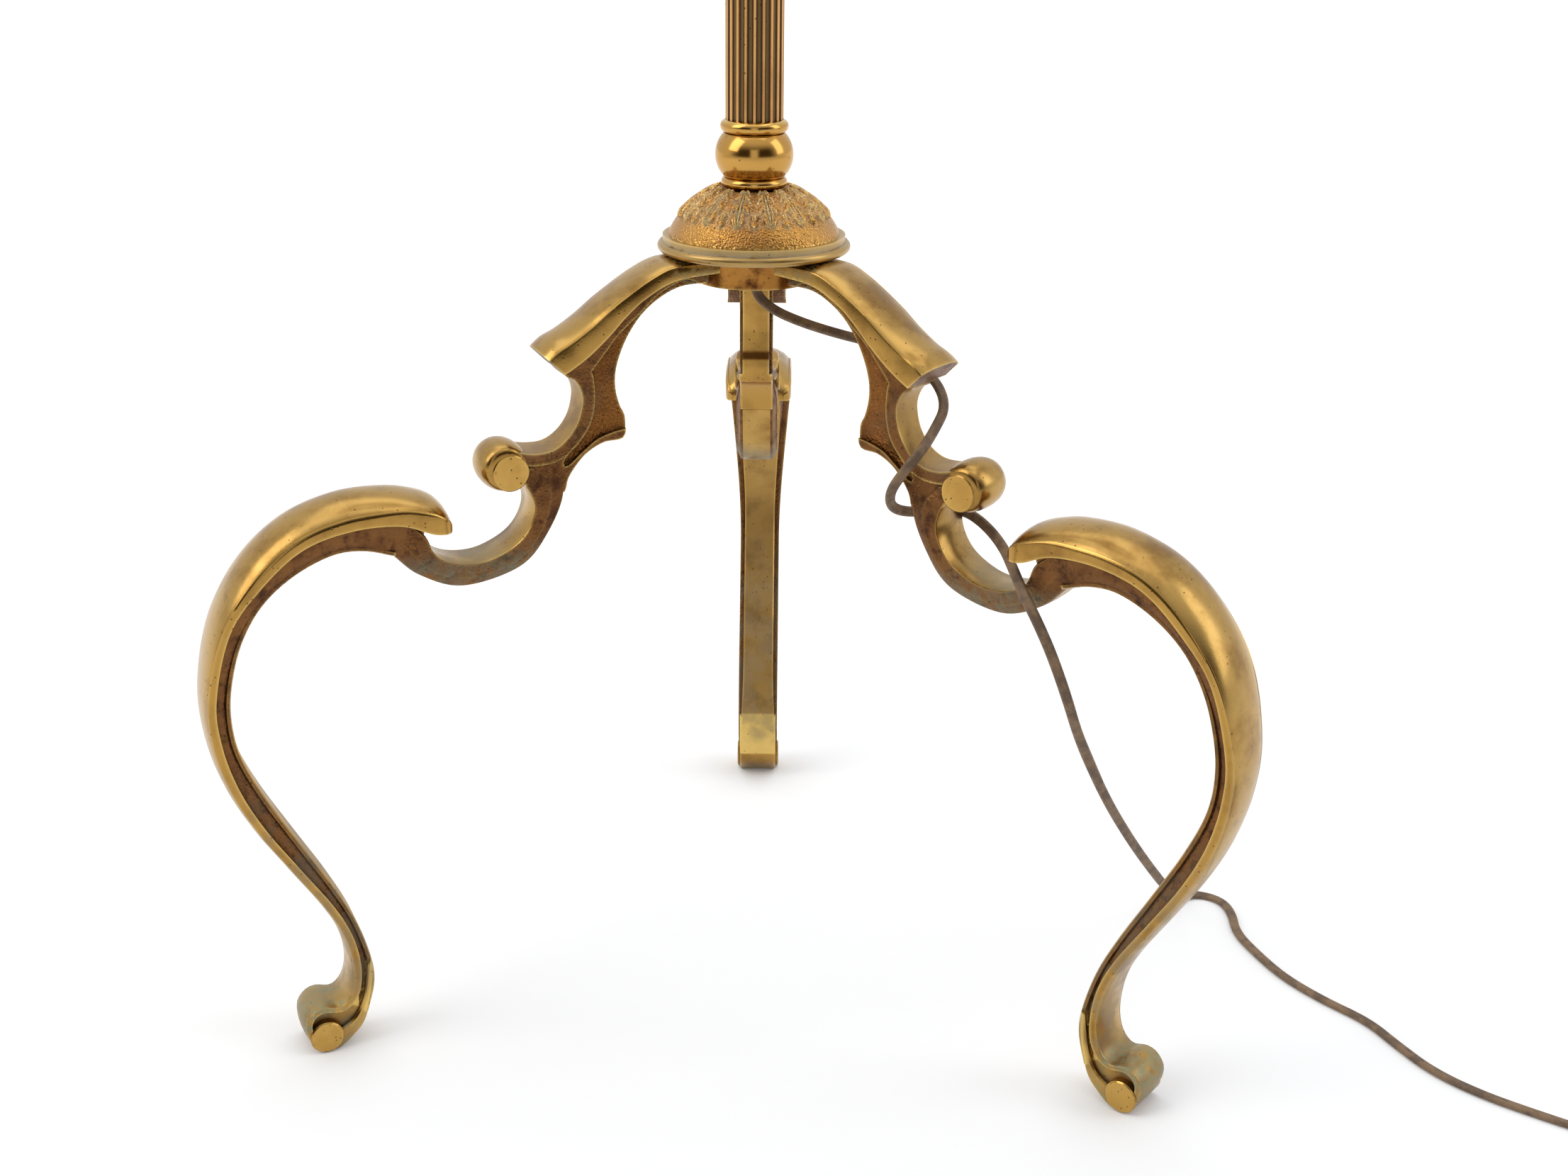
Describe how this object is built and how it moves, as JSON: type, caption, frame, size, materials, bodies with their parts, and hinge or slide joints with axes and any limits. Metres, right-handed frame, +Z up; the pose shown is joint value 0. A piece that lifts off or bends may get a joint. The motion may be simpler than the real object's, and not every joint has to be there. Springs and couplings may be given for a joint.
{
  "type": "floor lamp",
  "caption": "Floor lamp with three cast brass cabriole legs, a leaf-ringed hub, a fluted column, a lampholder with a turning switch, a pleated shade and a twin flex.",
  "frame": {"origin": "on the floor, on the column's axis", "axes": "+Z up the column, +X to the right and +Y away seen from the front, with one leg pointing nearly along +Y"},
  "size_m": [0.8084, 0.5497, 1.5688],
  "materials": {
    "brass": "turned and polished brass, warm, with a thin brown patina in the grooves",
    "cast_brass": "cast brass, burnished on the high faces, brown patina and verdigris in the hollows",
    "column_brass": "drawn fluted brass, bright arrises and nearly black flutes",
    "steel": "plain dull steel",
    "flex": "old braided twin flex, brown and gold, dusty",
    "bakelite": "dark brown moulded bakelite",
    "pin_brass": "plain brass",
    "porcelain": "white glazed porcelain",
    "bulb_glass": "clear glass",
    "shade_cloth": "pleated cream cloth",
    "shade_braid": "old-gold braid"
  },
  "bodies": {
    "lamp": {"leg_left": "cast_brass", "leg_right": "cast_brass", "leg_back": "cast_brass", "leg_screws": "steel", "hub_drum": "cast_brass", "rim_ring": "cast_brass", "dome": "cast_brass", "neck_ring": "brass", "ball_collar": "brass", "seat_ring": "brass", "column": "column_brass", "centre_pipe": "steel", "pipe_washer": "steel", "pipe_nut": "steel", "cord_bushing": "bakelite", "inner_flex": "flex", "top_seat_ring": "brass", "top_ball": "brass", "top_neck_ring": "brass", "drip_cup": "brass", "head_nut": "steel", "holder_cap": "brass", "holder_shell": "brass", "holder_insert": "porcelain", "holder_screw_shell": "brass", "holder_contacts": "pin_brass", "shade_nut": "brass", "holder_collar": "brass", "bulb_cap": "pin_brass", "bulb_glass": "bulb_glass", "bulb_filament": "steel", "shade_cover": "shade_cloth", "shade_trim_bottom": "shade_braid", "shade_trim_top": "shade_braid", "shade_hoop_low": "steel", "shade_hoop_high": "steel", "shade_ribs": "steel", "shade_carrier": "steel", "cord_lead": "flex", "cord_coil": "flex", "cord_tail": "flex", "plug_body": "bakelite", "plug_screw": "steel", "plug_pins": "pin_brass"},
    "switch": {"switch_spindle": "brass", "switch_key": "bakelite"}
  },
  "joints": [
    {"name": "switch_turn", "type": "hinge", "parent": "lamp", "child": "switch", "pos_m": [0.0073, -0.01808, 1.3168], "axis": [0.3746, -0.9272, 0], "continuous": true}
  ]
}
